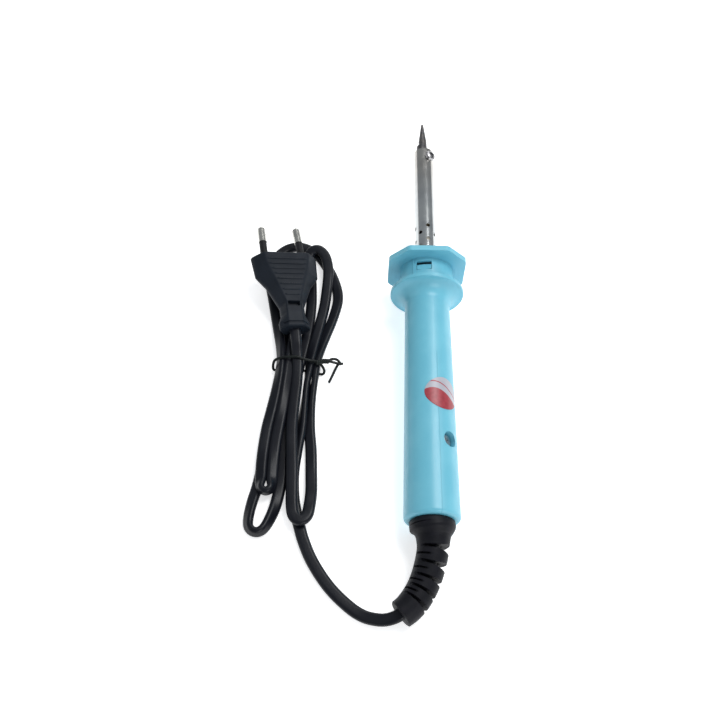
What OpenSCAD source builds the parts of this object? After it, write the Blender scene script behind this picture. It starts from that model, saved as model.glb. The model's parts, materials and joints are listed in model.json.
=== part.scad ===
// Mains soldering iron: a moulded handle with a guard, a steel barrel round the heater, a tip held by one
// screw, and a flat two-core cord wound in a hank and ending in a two-pin plug.
// The iron lies on a flat surface at Z = 0, on the guard's lower flat and on the back of the handle.
// +Y runs along the iron towards the tip, +Z is up. The origin is under the middle of the iron.

/* [Handle] */
// Length of the handle behind the guard plate
handle_len = 124; // [95:1:160]
// Radius of the handle just behind its disc
handle_front_r = 10.2; // [9.8:0.1:12.4]
// Radius of the handle at its back end
handle_back_r = 11.8; // [11:0.1:14.2]
// Wall of the handle
handle_wall = 2.1; // [1.6:0.1:2.6]
// Thickness of the handle's end wall
end_wall = 3; // [2:0.1:4]
// Radius of the rounding at the back end
back_round = 1.8; // [1:0.1:2]
// How far the disc at the front of the handle lies inside the guard plate's flats
disc_inset = 1; // [0.6:0.1:3]
// Thickness of the disc's rim
disc_t = 2.2; // [1.6:0.1:3]
// Radius of the fillet between the disc and the handle
disc_fillet = 6.6; // [4:0.1:8]

/* [Front guard] */
// Size of the guard plate across its flats
guard_af = 36; // [30:0.5:44]
// Cut of the plate's corners, along each side
guard_chamfer = 9; // [6:0.5:11]
// Radius of the rounded plate corners
guard_corner_r = 3; // [1:0.5:5]
// Thickness of the guard plate
guard_t = 2.6; // [2:0.1:4]
// Outer radius of the guard's skirt
skirt_r = 12.6; // [12.2:0.1:15.2]
// Wall of the skirt
skirt_wall = 1.2; // [0.9:0.1:1.5]
// Length of the skirt behind the plate
skirt_len = 11.2; // [9:0.1:14]
// Width of each catch window
window_w = 7; // [5:0.1:8]
// Length of each catch window along the skirt
window_len = 4.6; // [3.5:0.1:5]
// Angle of the catch windows round the iron, from the top
window_turn = -9; // [-30:1:30]

/* [Barrel] */
// Air gap between the heater and the barrel
heater_gap = 0.05; // [0.05:0.05:0.6]
// Wall of the barrel
barrel_wall = 0.3; // [0.2:0.05:0.35]
// How far the barrel reaches past the guard plate
barrel_reach = 72; // [60:1:90]
// How far the flange on the barrel's inner end stands out
flange_rim = 2.3; // [1.6:0.1:2.5]
// Thickness of that flange
flange_t = 0.6; // [0.4:0.1:1]
// Radius of each vent hole
vent_r = 1; // [0.6:0.1:1.2]
// Distance from the guard plate to the first row of vent holes
vent_start = 10.4; // [8:0.1:14]
// Spacing of the rows of vent holes
vent_pitch = 4; // [3:0.1:4.5]
// Rows of vent holes
vent_rows = 4; // [1:1:5]
// Thickness of the ring at the foot of the barrel
ring_wall = 0.85; // [0.5:0.05:1.6]

/* [Tip] */
// Radius of the tip's shank
tip_r = 2.7; // [2.2:0.1:3.3]
// Length of the tip past the barrel's mouth
tip_reach = 20.8; // [14:0.1:30]
// Length of the tip's shank inside the barrel
tip_hold = 50; // [35:1:54]
// Length of the point
point_len = 12; // [6:0.5:13]
// Distance of the tip's axis from the barrel's axis, to the left
tip_offset = 0.8; // [0:0.1:0.8]
// Thread radius of the screw that clamps the tip
clamp_r = 1.5; // [1.2:0.1:1.5]
// Head radius of that screw
clamp_head_r = 2.7; // [2.3:0.1:2.8]
// Height of the screw's head
clamp_head_h = 1.9; // [1.4:0.1:2.4]
// Distance of the screw from the barrel's mouth
clamp_back = 5; // [4:0.1:8]
// Angle of the screw round the barrel, from the top
clamp_turn = 33; // [0:1:60]

/* [Heater] */
// Distance from the clamp screw to the heater's steel former
former_gap = 9; // [4:0.5:14]
// Wall of the former
former_wall = 0.3; // [0.2:0.05:0.4]
// Thickness of the inner wrap of mica
inner_mica_t = 0.12; // [0.1:0.01:0.2]
// Thickness of the resistance winding
winding_t = 0.35; // [0.3:0.01:0.4]
// Pitch of the winding's turns
winding_pitch = 0.9; // [0.7:0.1:1.5]
// Thickness of the outer wrap of mica
outer_mica_t = 0.12; // [0.08:0.01:0.12]
// Length of the ceramic bush at the back of the barrel
bush_len = 10; // [6:0.5:12]

/* [Wiring] */
// Radius of the heater's lead wires
lead_r = 0.35; // [0.25:0.05:0.4]
// Wall of the glass-fibre sleeves on the leads
sleeve_wall = 0.4; // [0.3:0.05:0.5]
// Length of the ceramic terminal block
block_len = 14; // [12:0.5:18]
// Radius of one insulated cord core
core_r = 1.1; // [0.9:0.05:1.15]
// Length of the block that anchors the cord
anchor_len = 11; // [9:0.5:14]
// Radius of the recess for the anchor's screw
recess_r = 3.5; // [3:0.1:4]

/* [Cord and plug] */
// Width of the flat cord
cord_w = 5.2; // [4.6:0.1:5.4]
// Thickness of the flat cord
cord_t = 3.2; // [2.8:0.1:3.4]
// Radius of the strain relief's collar
boot_collar_r = 9.5; // [8:0.1:11.4]
// Radius of the strain relief's first rib
boot_rib_r = 6.4; // [5.5:0.1:7]
// Width of the plug
plug_w = 33; // [31:0.5:36]
// Thickness of the plug
plug_t = 12.4; // [12:0.1:14]
// Radius of a plug pin's bare metal end
pin_r = 2; // [1.9:0.05:2.05]

/* [Hidden] */
$fn = 64;

// Named clearances
slip = 0.1;      // a piece slid into another by hand
wrap_gap = 0.02; // between layers wound on each other
run_fit = 0.04;  // a screw in its thread
seat_gap = 0.05; // between faces that seat on each other

// Where the iron rests: the guard's lower back edge and the handle's back end share the ground
rest_tilt = atan((guard_af / 2 - handle_back_r) / (handle_len - back_round));
tip_end = guard_t + barrel_reach + tip_reach;
front_y = tip_end * cos(rest_tilt) - guard_af / 2 * sin(rest_tilt);
back_y = -(handle_len - back_round) * cos(rest_tilt)
    - (guard_af / 2 + handle_back_r - back_round) * sin(rest_tilt) - back_round;
middle_y = (front_y + back_y) / 2;
home = [0, back_y - middle_y, 0];

// Heater layers, wound outwards from the tip's shank, and the barrel round them
former_in_r = tip_r + slip;
former_out_r = former_in_r + former_wall;
mica_r = former_out_r + wrap_gap + inner_mica_t;
winding_r = mica_r + wrap_gap + winding_t;
outer_r = winding_r + wrap_gap + outer_mica_t;
lead_z = mica_r + wrap_gap + lead_r;
sleeve_r = lead_r + wrap_gap + sleeve_wall;
bore_in_barrel = outer_r + tip_offset + heater_gap;
barrel_r = bore_in_barrel + barrel_wall;
flange_r = barrel_r + flange_rim;
bush_r = bore_in_barrel - slip;

// Stations along the iron, from the back face of the guard plate
disc_front = -skirt_len - seat_gap;
disc_back = disc_front - disc_t;
mouth_y = guard_t + barrel_reach;
clamp_y = mouth_y - clamp_back;
flange_back = -seat_gap - flange_t;
retainer_t = 1;
retainer_back = flange_back - seat_gap - retainer_t;
retainer_screw_r = 1;
retainer_screw_x = (flange_r + skirt_r - skirt_wall) / 2;
retainer_head_r = 1.7;
retainer_head_h = 1.2;
vent_turn = 12; // angle of the second row of vent holes round the barrel, from the top
tip_butt = mouth_y - tip_hold;
former_back = tip_butt - 2;
former_front = clamp_y - former_gap;
winding_margin = 4;
bush_front = former_back - 4;
bush_back = bush_front - bush_len;

// Handle, inside and outside
disc_r = guard_af / 2 - disc_inset;
spigot_r = skirt_r - skirt_wall - slip;
spigot_wall = 1.5;
spigot_front = retainer_back - retainer_head_h - 2 * slip;
window_front = -2;
window_back = window_front - window_len;
bore_end = -handle_len + end_wall;
function handle_r_at(y) = handle_front_r
    + (handle_back_r - handle_front_r) * (disc_back - y) / (handle_len + disc_back);
function bore_r_at(y) = handle_r_at(y) - handle_wall;
fillet_r = min(disc_fillet, disc_r - 0.4 - handle_r_at(disc_back));

// Clamp screw: its end stops short of the tip
clamp_side = tip_offset * sin(clamp_turn);
clamp_end = tip_r - clamp_side + seat_gap;
collar_len = 1.5;

// Terminal block and cord anchor
block_front = -40;
block_back = block_front - block_len;
block_w = 8.6;
terminal_r = 1.9;
block_wall = 0.8;
block_h = 2 * (lead_z + terminal_r + block_wall);
terminal_in_r = 1.2;
terminal_screw_r = 1.1;
terminal_margin = 2.6;
terminal_screw_ys = [block_front - terminal_margin - 2, block_back + terminal_margin + 2];
core_strand_r = 0.6;
recess_back = 33.5;
recess_y = -handle_len + recess_back;
recess_turn = 44;
seat_depth = 3.7; // the screw's head seats this far below the handle's surface
anchor_front = recess_y + anchor_len / 2;
anchor_back = anchor_front - anchor_len;
anchor_r = bore_r_at(anchor_front) - slip;
anchor_seat = handle_r_at(recess_y) - seat_depth;
anchor_screw_r = 1.4;
anchor_head_r = 2.6;
tail_front = anchor_front + 6;

// Sticker
label_back = 54.5;
label_y = -handle_len + label_back;
label_turn = 30;
label_half_w = 8.8;
label_half_l = 7.6;
label_t = 0.12;

// Strain relief: centre line from the back of the handle, and the radius of its ribs
boot_hole_r = 5.6;
boot_lip_r = 7.4;
boot_lip_t = 1.5;
boot_collar_len = 2.6;
boot_path = [
    [0, -1, 11.8], [0.3, -4.5, 11.3], [0, -11.5, 10], [-1.6, -18.5, 8.4], [-3.8, -24.5, 7.2],
    [-6.6, -29.5, 6.6], [-9.8, -33.4, 6.2], [-13, -36, 6]
];
boot_end_r = 5.8;
boot_ribs = 7;
boot_groove = 1.5;
boot_root = 0.2;

// Cord from the strain relief to the hank, from the back of the handle
lead_path = [
    [-13, -36, 6], [-16, -37.2, 5], [-19.5, -37.6, 3.8], [-23.5, -37, 2.8], [-27.6, -35.6, 2],
    [-32.4, -32.6, 1.7], [-38.9, -26.8, 1.7], [-44.2, -20.4, 1.7], [-49.2, -12.4, 1.7], [-52.6, -4.6, 1.7], [-54, 1, 1.7]
];
// Cord from the plug, over the waist of the hank and down into it
neck_path = [[-61, 95.5, 9.8], [-60.3, 90, 9], [-59.7, 84, 7], [-59.3, 78, 5.6], [-59.3, 70, 5], [-59.9, 60, 4.6]];
hank_h = 2 * cord_t;
hank_waist = [-58.5, 83];
tie_wire = 1.2;
tie_half_w = 11.6;
tie_path = [
    [-48.5, 81.5, 4], [-45, 79.5, 3], [-42, 80.5, 2.2], [-41, 77.5, 1.6], [-44.5, 71.5, 1.2]
];

// Plug: place of the middle of its pin face, from the back of the handle, and how it lies
plug_place = [-68.8, 135.7, 12];
plug_turn = 11;
plug_pitch = 3;
plug_roll = 15;
pin_reach = 19;
pin_bare = 9;
pin_root = 7;
pin_tip_gap = 17.5;
pin_base_gap = 18.6;
pin_lean = atan((pin_base_gap - pin_tip_gap) / 2 / pin_reach);
pin_shank_r = pin_r - 0.45;
pin_sleeve_r = pin_r - 0.2;
plug_len = 41;
// Outline of the plug: how far back from its pin face, half-width and half-height
plug_front = [
    [0, plug_w / 2 - 0.6, plug_t / 2 - 0.5], [-1, plug_w / 2, plug_t / 2], [-11.5, plug_w / 2 - 1, plug_t / 2]
];
plug_waist = [[-17.5, plug_w / 2 - 5.5, plug_t / 2 - 0.4], [-28.5, 6, 5], [-plug_len + 0.1, 7.4, 4.2]];

function unit(v) = v / norm(v);
// A smooth run of steps points through each pair of neighbours p[i], p[i + 1]
function between(a, b, c, d, t) = 0.5 * (2 * b + (c - a) * t + (2 * a - 5 * b + 4 * c - d) * t * t
    + (3 * b - a - 3 * c + d) * t * t * t);
function smooth(p, steps) = [
    for (i = [0 : len(p) - 2], s = [0 : steps - 1])
        between(p[max(i - 1, 0)], p[i], p[i + 1], p[min(i + 2, len(p) - 1)], s / steps),
    p[len(p) - 1]
];
// The level sideways direction and the upward direction at point i of path p
function side_at(p, i) = unit(cross(p[min(i + 1, len(p) - 1)] - p[max(i - 1, 0)], [0, 0, 1]));
function up_at(p, i) = cross(side_at(p, i), unit(p[min(i + 1, len(p) - 1)] - p[max(i - 1, 0)]));

// A closed tube along p whose ring i has half-width w[i] and half-height h[i]
module swept(p, w, h, sides) {
    last = len(p) - 1;
    rings = [
        for (i = [0 : last], j = [0 : sides - 1])
            let (a = 360 * (j + 0.5) / sides)
                p[i] + side_at(p, i) * w[i] * cos(a) + up_at(p, i) * h[i] * sin(a)
    ];
    walls = [
        for (i = [0 : last - 1], j = [0 : sides - 1], half = [0, 1])
            let (a = i * sides + j, b = i * sides + (j + 1) % sides)
                half == 0 ? [a, b, b + sides] : [a, b + sides, a + sides]
    ];
    caps = [[for (j = [sides - 1 : -1 : 0]) j], [for (j = [0 : sides - 1]) last * sides + j]];
    polyhedron(points = rings, faces = concat(walls, caps), convexity = 10);
}

// Places the children of the iron, drawn along +Y round the barrel's axis, on the surface
module in_iron() {
    translate([0, -middle_y, 0]) rotate([rest_tilt, 0, 0]) translate([0, 0, guard_af / 2]) children();
}
module at_home() { translate(home) children(); }
module in_plug() {
    at_home() translate(plug_place) rotate([0, 0, plug_turn]) rotate([plug_pitch, 0, 0]) rotate([0, plug_roll, 0])
        children();
}
// A round bar along Y from y0 to y1, or a tube when it has an inner radius
module bar(y0, y1, r) { translate([0, y1, 0]) rotate([90, 0, 0]) cylinder(h = y1 - y0, r = r); }
module pipe(y0, y1, r, in_r) {
    translate([0, y1, 0]) rotate([90, 0, 0]) linear_extrude(y1 - y0) difference() { circle(r); circle(in_r); }
}
module taper(y0, y1, r0, r1) { translate([0, y1, 0]) rotate([90, 0, 0]) cylinder(h = y1 - y0, r1 = r1, r2 = r0); }
// Turns a profile of [radius, y] points round the Y axis
module turned(profile) { rotate([-90, 0, 0]) rotate_extrude() polygon(profile); }
// Turns the children, drawn upwards from the axis, round the iron and along it
module around(y, turn) { translate([0, y, 0]) rotate([0, turn, 0]) children(); }

module plate_outline(size, cut, r) {
    // Each corner circle touches a straight side and the slanted one
    along = size / 2 - cut - r * tan(22.5);
    across = size / 2 - r;
    hull() for (sx = [-1, 1], sz = [-1, 1]) {
        translate([sx * across, sz * along]) circle(r, $fn = 32);
        translate([sx * along, sz * across]) circle(r, $fn = 32);
    }
}

module handle() color([0.36, 0.72, 0.83]) in_iron() {
    difference() {
        union() {
            // Outer shape from the disc to the back, with the concave fillet behind the disc
            turned(concat(
                [[0, disc_front], [disc_r - 0.4, disc_front], [disc_r, disc_front - 0.4], [disc_r, disc_back + 0.4]],
                [[disc_r - 0.4, disc_back]],
                [for (a = [0 : 3 : 90]) let (q = handle_r_at(disc_back - fillet_r) + fillet_r)
                    [q - fillet_r * sin(a), disc_back - fillet_r * (1 - cos(a))]],
                [for (a = [0 : 6 : 90]) [handle_back_r - back_round * (1 - cos(a)),
                    -handle_len + back_round * (1 - sin(a))]],
                [[0, -handle_len]]
            ));
            // Spigot that the guard's skirt slips over
            bar(disc_front - 1, spigot_front, spigot_r);
            for (side = [0, 180]) around(0, window_turn + side) catch_wedge();
        }
        // Bore, open at the front and closed by the end wall
        bar(disc_back - 1, 1, spigot_r - spigot_wall);
        taper(bore_end, disc_back - 0.9, bore_r_at(bore_end), bore_r_at(disc_back - 0.9));
        bar(-handle_len - 1, bore_end + 1, boot_hole_r + slip);
        // Hole that the anchor's screw is reached through
        around(recess_y, recess_turn) translate([0, 0, bore_r_at(recess_y) - 2])
            cylinder(h = handle_wall + 4, r = recess_r);
    }
}

// A ramp on the spigot that snaps into a window of the skirt
module catch_wedge() {
    catch_w = window_w - 4 * slip;
    catch_back = window_back + 2 * slip;
    catch_front = min(spigot_front, window_front) - slip;
    top = spigot_r + slip + skirt_wall * 0.75;
    root = spigot_r - 0.6;
    translate([-catch_w / 2, 0, 0]) rotate([90, 0, 90]) linear_extrude(catch_w)
        polygon([[catch_front, root], [catch_front, spigot_r], [catch_back, top], [catch_back, root]]);
}

module front_guard() color([0.36, 0.72, 0.83]) in_iron() {
    difference() {
        union() {
            translate([0, guard_t, 0]) rotate([90, 0, 0])
                linear_extrude(guard_t) plate_outline(guard_af, guard_chamfer, guard_corner_r);
            pipe(-skirt_len, 0.1, skirt_r, skirt_r - skirt_wall);
            around(-skirt_len, -31.5) translate([-0.4, 0, skirt_r - 0.5]) cube([0.8, skirt_len, 0.9]);
        }
        bar(-1, guard_t + 1, barrel_r + slip);
        for (side = [0, 180]) around(window_back, window_turn + side)
            translate([-window_w / 2, 0, skirt_r - skirt_wall - 1]) cube([window_w, window_len, skirt_wall + 3]);
        for (sx = [-1, 1]) translate([sx * retainer_screw_x, 0, 0]) bar(-1, guard_t - 0.5, retainer_screw_r + run_fit);
    }
}

module barrel() color([0.75, 0.76, 0.78]) in_iron() {
    difference() {
        union() {
            pipe(flange_back, mouth_y, barrel_r, bore_in_barrel);
            pipe(flange_back, -seat_gap, flange_r, bore_in_barrel);
            // Drawn collar that carries the clamp screw's thread
            difference() {
                around(clamp_y, clamp_turn) translate([0, 0, bore_in_barrel - collar_len])
                    cylinder(h = collar_len, r = clamp_r + 0.7);
                pipe(clamp_y - 5, clamp_y + 5, barrel_r + 2, bore_in_barrel + barrel_wall / 2);
            }
        }
        around(clamp_y, clamp_turn) cylinder(h = barrel_r + 2, r = clamp_r + run_fit);
        for (row = [0 : vent_rows - 1], k = [0 : 3])
            around(guard_t + vent_start + row * vent_pitch, vent_turn + 90 * k + (row % 2 == 0 ? 45 : 0))
                translate([0, 0, 2]) cylinder(h = barrel_r, r = vent_r);
    }
}

module barrel_ring() color([0.7, 0.7, 0.72]) in_iron()
    pipe(guard_t + seat_gap, guard_t + seat_gap + 1, barrel_r + seat_gap + ring_wall, barrel_r + seat_gap);

module retainer_plate() color([0.7, 0.7, 0.72]) in_iron() difference() {
    bar(retainer_back, flange_back - seat_gap, skirt_r - skirt_wall - 2 * slip);
    bar(retainer_back - 1, 1, lead_z + sleeve_r + 2 * slip);
    for (sx = [-1, 1]) translate([sx * retainer_screw_x, 0, 0]) bar(retainer_back - 1, 1, retainer_screw_r + slip);
}

module retainer_screws() color([0.62, 0.62, 0.64]) in_iron()
    for (sx = [-1, 1]) translate([sx * retainer_screw_x, 0, 0]) difference() {
        union() {
            bar(retainer_back - retainer_head_h, retainer_back, retainer_head_r);
            bar(retainer_back - 0.2, guard_t - 0.7, retainer_screw_r);
        }
        translate([-0.25, retainer_back - retainer_head_h - 0.3, -retainer_head_r])
            cube([0.5, 0.7, 2 * retainer_head_r]);
    }

module tip() color([0.3, 0.3, 0.32]) in_iron() translate([-tip_offset, 0, 0]) {
    base = tip_end - point_len;
    shoulder = 0.6;
    dressed_r = tip_r - shoulder;
    turned([
        [0, tip_butt], [tip_r - 0.4, tip_butt], [tip_r, tip_butt + 0.4], [tip_r, base - 4.2],
        [tip_r - shoulder, base - 3.4], [0, base - 3.4]
    ]);
    // The point is dressed a little to the right of the shank
    translate([shoulder * 0.75, 0, 0]) turned([
        [0, base - 4], [dressed_r, base - 4], [dressed_r, base - 0.6], [dressed_r * 0.94, base + 0.4],
        [0.62, tip_end - 0.9], [0.4, tip_end - 0.25], [0, tip_end]
    ]);
}

module clamp_screw() color([0.5, 0.5, 0.52]) in_iron() around(clamp_y, clamp_turn) {
    head_base = barrel_r + seat_gap;
    difference() {
        union() {
            translate([0, 0, clamp_end]) cylinder(h = head_base + 0.2 - clamp_end, r = clamp_r);
            translate([0, 0, head_base]) rotate_extrude() polygon([
                [0, 0], [clamp_head_r, 0], [clamp_head_r, clamp_head_h * 0.4],
                [clamp_head_r * 0.86, clamp_head_h * 0.75], [clamp_head_r * 0.55, clamp_head_h * 0.95],
                [0, clamp_head_h]
            ]);
        }
        for (turn = [0, 90]) rotate([0, 0, turn + 20]) translate([-1.5, -0.3, head_base + clamp_head_h - 1])
            cube([3, 0.6, 2]);
    }
}

module heater_former() color([0.55, 0.53, 0.5]) in_iron() translate([-tip_offset, 0, 0])
    pipe(former_back, former_front, former_out_r, former_in_r);

module inner_mica() color([0.72, 0.62, 0.42]) in_iron() translate([-tip_offset, 0, 0])
    pipe(former_back + 1, former_front - 1, mica_r, former_out_r + wrap_gap);

module heater_winding() color([0.6, 0.55, 0.5]) in_iron() translate([-tip_offset, 0, 0]) {
    start = former_back + winding_margin;
    turns = floor((former_front - former_back - 2 * winding_margin) / winding_pitch);
    web = winding_r - winding_t * 0.6;
    turned(concat(
        [[mica_r + wrap_gap, start]],
        [for (i = [0 : turns - 1], q = [[web, 0.05], [winding_r, 0.3], [winding_r, 0.6], [web, 0.85]])
            [q[0], start + (i + q[1]) * winding_pitch]],
        [[mica_r + wrap_gap, start + turns * winding_pitch]]
    ));
}

module outer_mica() color([0.74, 0.64, 0.45]) in_iron() translate([-tip_offset, 0, 0])
    pipe(former_back + winding_margin, former_front - 1, outer_r, winding_r + wrap_gap);

module ceramic_bush() color([0.9, 0.88, 0.82]) in_iron() difference() {
    bar(bush_back, bush_front, bush_r);
    translate([-tip_offset, 0, 0]) for (sz = [-1, 1]) translate([0, 0, sz * lead_z])
        bar(bush_back - 1, bush_front + 1, lead_r + slip);
}

module heater_leads() color([0.7, 0.68, 0.62]) in_iron()
    for (sz = [-1, 1]) translate([-tip_offset, 0, sz * lead_z])
        bar(block_front - terminal_margin - 3, former_back + winding_margin - seat_gap, lead_r);

module lead_sleeves() color([0.85, 0.83, 0.75]) in_iron()
    for (sz = [-1, 1]) translate([-tip_offset, 0, sz * lead_z])
        pipe(block_front + 0.5, bush_back - seat_gap, sleeve_r, lead_r + wrap_gap);

module terminal_block() color([0.93, 0.91, 0.86]) in_iron() difference() {
    translate([-block_w / 2, block_back, -block_h / 2]) cube([block_w, block_len, block_h]);
    for (sz = [-1, 1]) translate([-tip_offset, 0, sz * lead_z]) {
        bar(block_back - 1, block_front + 1, terminal_in_r + 0.1);
        bar(block_back + terminal_margin - slip, block_front + 1, terminal_r + slip);
        for (y = terminal_screw_ys) translate([0, y, 0]) rotate([0, 90, 0])
            cylinder(h = block_w, r = terminal_screw_r + 2 * slip);
    }
}

module terminal_tubes() color([0.8, 0.66, 0.35]) in_iron()
    for (sz = [-1, 1]) translate([-tip_offset, 0, sz * lead_z]) difference() {
        bar(block_back + terminal_margin, block_front - terminal_margin / 2, terminal_r);
        bar(block_back, block_front + 1, terminal_in_r);
        for (y = terminal_screw_ys) translate([0, y, 0]) rotate([0, 90, 0])
            cylinder(h = block_w, r = terminal_screw_r + run_fit);
    }

module terminal_screws() color([0.7, 0.6, 0.38]) in_iron()
    for (sz = [-1, 1], y = terminal_screw_ys) translate([-tip_offset, y, sz * lead_z]) rotate([0, 90, 0])
        difference() {
            translate([0, 0, core_strand_r + seat_gap])
                cylinder(h = block_w / 2 - core_strand_r, r = terminal_screw_r);
            translate([-terminal_screw_r, -0.2, block_w / 2 - 0.5]) cube([2 * terminal_screw_r, 0.4, 2]);
        }

// Each core runs from its terminal to the flat cord's sheath
module cord_cores() color([0.45, 0.3, 0.2]) in_iron() for (sz = [-1, 1]) {
    span = tail_front - block_back;
    tail_z = core_r + 0.15;
    core_path = [
        [-tip_offset, block_back - seat_gap, sz * lead_z], [-tip_offset, block_back + span * 0.12, sz * lead_z],
        [-tip_offset / 2, block_back + span * 0.5, sz * (lead_z + tail_z) / 2],
        [0, block_back + span * 0.88, sz * tail_z], [0, tail_front + seat_gap, sz * tail_z]
    ];
    run = smooth(core_path, 4);
    swept(run, [for (q = run) core_r], [for (q = run) core_r], 8);
    translate([-tip_offset, 0, sz * lead_z])
        bar(block_back - 1, block_back + terminal_margin + 4, core_strand_r);
}

// The flat cord's last stretch, inside the handle, standing on its edge
module cord_tail() color([0.08, 0.08, 0.09]) in_iron()
    translate([0, tail_front, 0]) rotate([90, 0, 0])
        linear_extrude(tail_front - bore_end - boot_lip_t - 2 * seat_gap) cord_section();
module cord_section() {
    for (sz = [-1, 1]) translate([0, sz * (cord_w - cord_t) / 2]) circle(cord_t / 2, $fn = 32);
    square([cord_t * 0.9, cord_w - cord_t], center = true);
}

module cord_anchor() color([0.2, 0.2, 0.22]) in_iron() difference() {
    bar(anchor_back, anchor_front, anchor_r);
    translate([-cord_t / 2 - slip, anchor_back - 1, -cord_w / 2 - slip])
        cube([cord_t + 2 * slip, anchor_len + 2, cord_w + 2 * slip]);
    around(recess_y, recess_turn) {
        cylinder(h = anchor_r + 2, r = anchor_screw_r + run_fit);
        translate([0, 0, anchor_seat]) cylinder(h = anchor_r, r = recess_r);
    }
}

module anchor_screw() color([0.62, 0.62, 0.64]) in_iron() around(recess_y, recess_turn) {
    head_base = anchor_seat + seat_gap;
    difference() {
        union() {
            translate([0, 0, cord_w / 2 + 0.4]) cylinder(h = head_base - cord_w / 2, r = anchor_screw_r);
            translate([0, 0, head_base]) cylinder(h = 1.2, r = anchor_head_r);
        }
        for (turn = [0, 90]) rotate([0, 0, turn + 30]) translate([-1.5, -0.3, head_base + 0.5]) cube([3, 0.6, 2]);
    }
}

// A printed sticker on the handle
module rating_label() color([0.9, 0.85, 0.84]) in_iron() intersection() {
    difference() {
        taper(label_y - 12, label_y + 12, handle_r_at(label_y - 12) + seat_gap + label_t,
            handle_r_at(label_y + 12) + seat_gap + label_t);
        taper(label_y - 13, label_y + 13, handle_r_at(label_y - 13) + seat_gap,
            handle_r_at(label_y + 13) + seat_gap);
    }
    around(label_y, label_turn) linear_extrude(handle_back_r + 2) label_outline();
}
// The sticker is cut flat, so its width across the curve is the chord of its arc
module label_outline() {
    chord_half = handle_r_at(label_y) * sin(label_half_w / handle_r_at(label_y) * 180 / PI);
    polygon([for (a = [0 : 10 : 350]) [chord_half * cos(a), label_half_l * sin(a)]]);
}

// Collar, lip and ribbed tail of the strain relief
module cord_boot() color([0.07, 0.07, 0.08]) {
    in_iron() {
        bar(-handle_len - seat_gap - boot_collar_len, -handle_len - seat_gap, boot_collar_r);
        bar(-handle_len - 1, bore_end + 0.5, boot_hole_r);
        bar(bore_end + seat_gap, bore_end + seat_gap + boot_lip_t, boot_lip_r);
    }
    run = smooth(boot_path, 6);
    last = len(run) - 1;
    at_home() swept(run, [for (i = [0 : last]) boot_r(i / last)],
        [for (i = [0 : last]) min(boot_r(i / last), run[i][2])], 12);
}
// Radius of the strain relief at the share u of its length: a flared root, then rings with grooves between
function boot_r(u) = let (full = boot_rib_r + (boot_end_r - boot_rib_r) * u) u < boot_root
    ? full + (boot_collar_r - 1 - full) * pow(1 - u / boot_root, 2)
    : full - boot_groove * (0.5 - 0.5 * cos(360 * boot_ribs * (u - boot_root) / (1 - boot_root)));

module cord_lead() color([0.07, 0.07, 0.08]) at_home() {
    for (path = [lead_path, neck_path]) {
        run = smooth(path, 3);
        swept(run, [for (q = run) cord_w / 2], [for (q = run) cord_t / 2], 8);
    }
}

// The wound cord: an upper bundle under the plug, a waist at the tie and two lower loops
module cord_hank() color([0.09, 0.09, 0.1]) at_home() linear_extrude(hank_h) {
    hull() {
        translate([-63, 140]) circle(14, $fn = 32);
        translate([-57, 144]) circle(11, $fn = 32);
        translate([-51, 118]) circle(12.5, $fn = 32);
        translate(hank_waist) circle(9.5, $fn = 32);
    }
    hull() {
        translate(hank_waist) circle(9.5, $fn = 32);
        translate([-70, 3]) circle(8, $fn = 32);
    }
    hull() {
        translate(hank_waist) circle(9.5, $fn = 32);
        translate([-54, 6]) circle(6.5, $fn = 32);
    }
}

// Wire twisted round the waist of the hank
module cord_tie() color([0.1, 0.1, 0.11]) at_home() {
    tie_h = hank_h + cord_t / 2 + 2 * tie_wire;
    translate([hank_waist[0], hank_waist[1] + tie_wire / 2 - 2, 0]) rotate([90, 0, 0]) linear_extrude(tie_wire)
        difference() {
            translate([-tie_half_w, 0]) square([2 * tie_half_w, tie_h]);
            translate([-tie_half_w + tie_wire, tie_wire])
                square([2 * (tie_half_w - tie_wire), tie_h - 2 * tie_wire]);
        }
    run = smooth(tie_path, 3);
    swept(run, [for (q = run) tie_wire], [for (q = run) tie_wire], 8);
}

// A thin slice of the plug: flat above and below, with slanted sides that meet in a blunt edge
module plug_slice(place) {
    half_w = place[1];
    half_h = place[2];
    flat = half_w - half_h * 0.8;
    translate([0, place[0], 0]) rotate([90, 0, 0]) linear_extrude(0.1) polygon([
        [-half_w, -0.8], [-half_w, 0.8], [-flat, half_h], [flat, half_h],
        [half_w, 0.8], [half_w, -0.8], [flat, -half_h], [-flat, -half_h]
    ]);
}

module plug_body() color([0.16, 0.18, 0.2]) in_plug() difference() {
    union() {
        hull() for (place = plug_front) plug_slice(place);
        hull() {
            plug_slice(plug_front[2]);
            plug_slice(plug_waist[0]);
        }
        for (i = [0, 1]) hull() {
            plug_slice(plug_waist[i]);
            plug_slice(plug_waist[i + 1]);
        }
    }
    pins_of_plug() bar(-pin_root - slip, 1, pin_sleeve_r + slip);
}

// Each pin leans inwards a little, so that it springs against its contact
module pins_of_plug() {
    for (sx = [-1, 1]) translate([sx * pin_base_gap / 2, 0, 0]) rotate([0, 0, sx * pin_lean]) children();
}

module plug_pins() color([0.8, 0.8, 0.78]) in_plug() pins_of_plug() turned([
    [0, -pin_root], [pin_shank_r, -pin_root], [pin_shank_r, pin_reach - pin_bare],
    [pin_r, pin_reach - pin_bare], [pin_r, pin_reach - 1.2], [pin_r - 0.4, pin_reach - 0.4],
    [pin_r - 1, pin_reach], [0, pin_reach]
]);

module pin_sleeves() color([0.14, 0.15, 0.17]) in_plug() pins_of_plug()
    pipe(-pin_root, pin_reach - pin_bare - seat_gap, pin_sleeve_r, pin_shank_r + run_fit);

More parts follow.
